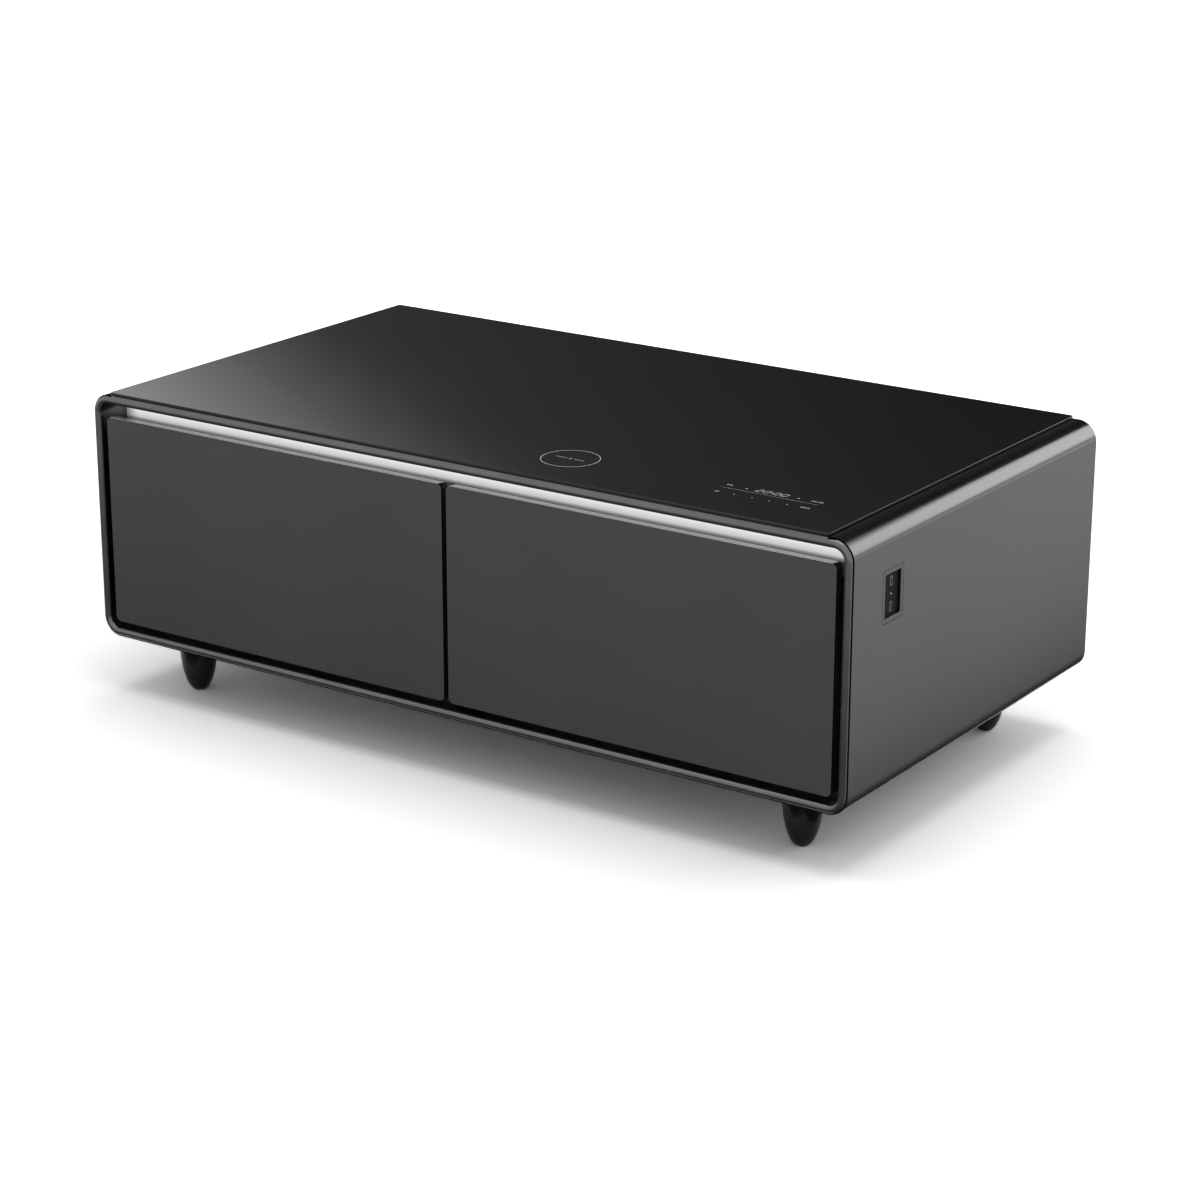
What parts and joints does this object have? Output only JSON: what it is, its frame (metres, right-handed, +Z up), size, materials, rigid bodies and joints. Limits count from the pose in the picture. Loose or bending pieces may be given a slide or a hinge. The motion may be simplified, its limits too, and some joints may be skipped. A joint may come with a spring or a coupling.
{
  "type": "refrigerator coffee table",
  "caption": "Low rounded coffee table with refrigerated pull-out drawers, a dark glass top, a light band above the drawers, a side socket panel and short tapered feet.",
  "frame": {"origin": "centre of the footprint, on the floor under the foot tips", "axes": "+X to the right seen from the front, -Y out of the front with the drawers, +Z up"},
  "size_m": [1.3, 0.7, 0.4733],
  "materials": {
    "case_paint": "satin grey powder coat",
    "ring_paint": "satin dark grey paint",
    "top_glass": "black tempered glass, polished",
    "front_glass": "dark grey back-painted glass, polished",
    "black_paint": "satin black paint",
    "black_plastic": "fine matte black",
    "foot_gloss": "gloss black lacquer",
    "liner_white": "white, low gloss",
    "tub_plastic": "pale grey, semi-gloss",
    "foam": "cut polyurethane foam",
    "gasket_rubber": "soft matte",
    "zinc_steel": "zinc-plated sheet",
    "aluminium": "mill finish",
    "copper": "drawn copper tube",
    "compressor_paint": "gloss black enamel",
    "diffuser": "opal white, lit from behind",
    "circuit_board": "green solder mask",
    "bezel_plastic": "fine matte grey",
    "grommet_rubber": "soft matte"
  },
  "bodies": {
    "cabinet": {"case_wrap": "case_paint", "front_frame": "ring_paint", "rear_panel": "case_paint", "insulation": "foam", "mullion_strip": "black_paint", "light_channel": "black_plastic", "light_diffuser": "diffuser", "led_strip": "circuit_board", "glass_top": "top_glass", "glass_pad": "black_plastic", "charger_coil": "black_plastic", "control_board": "circuit_board", "usb_bezel": "bezel_plastic", "usb_module": "black_plastic", "foot_front_left": "foot_gloss", "foot_front_right": "foot_gloss", "foot_rear_left": "foot_gloss", "foot_rear_right": "foot_gloss", "machine_base": "zinc_steel", "compressor": "compressor_paint", "grommet_front_left": "grommet_rubber", "grommet_front_right": "grommet_rubber", "grommet_rear_left": "grommet_rubber", "grommet_rear_right": "grommet_rubber", "condenser": "aluminium", "fan_shroud": "black_plastic", "fan_motor": "zinc_steel", "discharge_pipe": "copper", "suction_pipe": "copper", "filter_drier": "copper", "drip_tray": "black_plastic", "control_box": "black_plastic", "power_inlet": "black_plastic", "left_liner": "liner_white", "left_cold_plate": "aluminium", "left_outer_runner_cabinet": "zinc_steel", "left_inner_runner_cabinet": "zinc_steel", "right_liner": "liner_white", "right_cold_plate": "aluminium", "right_outer_runner_cabinet": "zinc_steel", "right_inner_runner_cabinet": "zinc_steel"},
    "condenser_fan": {"condenser_fan": "black_plastic"},
    "left_outer_runner_middle": {"left_outer_runner_middle": "zinc_steel"},
    "left_inner_runner_middle": {"left_inner_runner_middle": "zinc_steel"},
    "left_drawer": {"left_front_glass": "front_glass", "left_drawer_front": "black_plastic", "left_gasket": "gasket_rubber", "left_tub": "tub_plastic", "left_outer_runner_drawer": "zinc_steel", "left_inner_runner_drawer": "zinc_steel"},
    "right_outer_runner_middle": {"right_outer_runner_middle": "zinc_steel"},
    "right_inner_runner_middle": {"right_inner_runner_middle": "zinc_steel"},
    "right_drawer": {"right_front_glass": "front_glass", "right_drawer_front": "black_plastic", "right_gasket": "gasket_rubber", "right_tub": "tub_plastic", "right_outer_runner_drawer": "zinc_steel", "right_inner_runner_drawer": "zinc_steel"}
  },
  "joints": [
    {"name": "left_drawer_slide", "type": "slide", "parent": "cabinet", "child": "left_drawer", "axis": [0, -1, 0], "range_m": [0, 0.39]},
    {"name": "left_outer_runner_slide", "type": "slide", "parent": "cabinet", "child": "left_outer_runner_middle", "axis": [0, -1, 0], "range_m": [0, 0.195]},
    {"name": "left_inner_runner_slide", "type": "slide", "parent": "cabinet", "child": "left_inner_runner_middle", "axis": [0, -1, 0], "range_m": [0, 0.195]},
    {"name": "right_drawer_slide", "type": "slide", "parent": "cabinet", "child": "right_drawer", "axis": [0, -1, 0], "range_m": [0, 0.39]},
    {"name": "right_outer_runner_slide", "type": "slide", "parent": "cabinet", "child": "right_outer_runner_middle", "axis": [0, -1, 0], "range_m": [0, 0.195]},
    {"name": "right_inner_runner_slide", "type": "slide", "parent": "cabinet", "child": "right_inner_runner_middle", "axis": [0, -1, 0], "range_m": [0, 0.195]},
    {"name": "condenser_fan_spin", "type": "hinge", "parent": "cabinet", "child": "condenser_fan", "pos_m": [0.19, 0.24545, 0.1886], "axis": [0, 1, 0], "continuous": true}
  ],
  "couplings": [
    {"joint": "left_outer_runner_slide", "follows": "left_drawer_slide", "ratio": 0.5},
    {"joint": "left_inner_runner_slide", "follows": "left_drawer_slide", "ratio": 0.5},
    {"joint": "right_outer_runner_slide", "follows": "right_drawer_slide", "ratio": 0.5},
    {"joint": "right_inner_runner_slide", "follows": "right_drawer_slide", "ratio": 0.5}
  ]
}
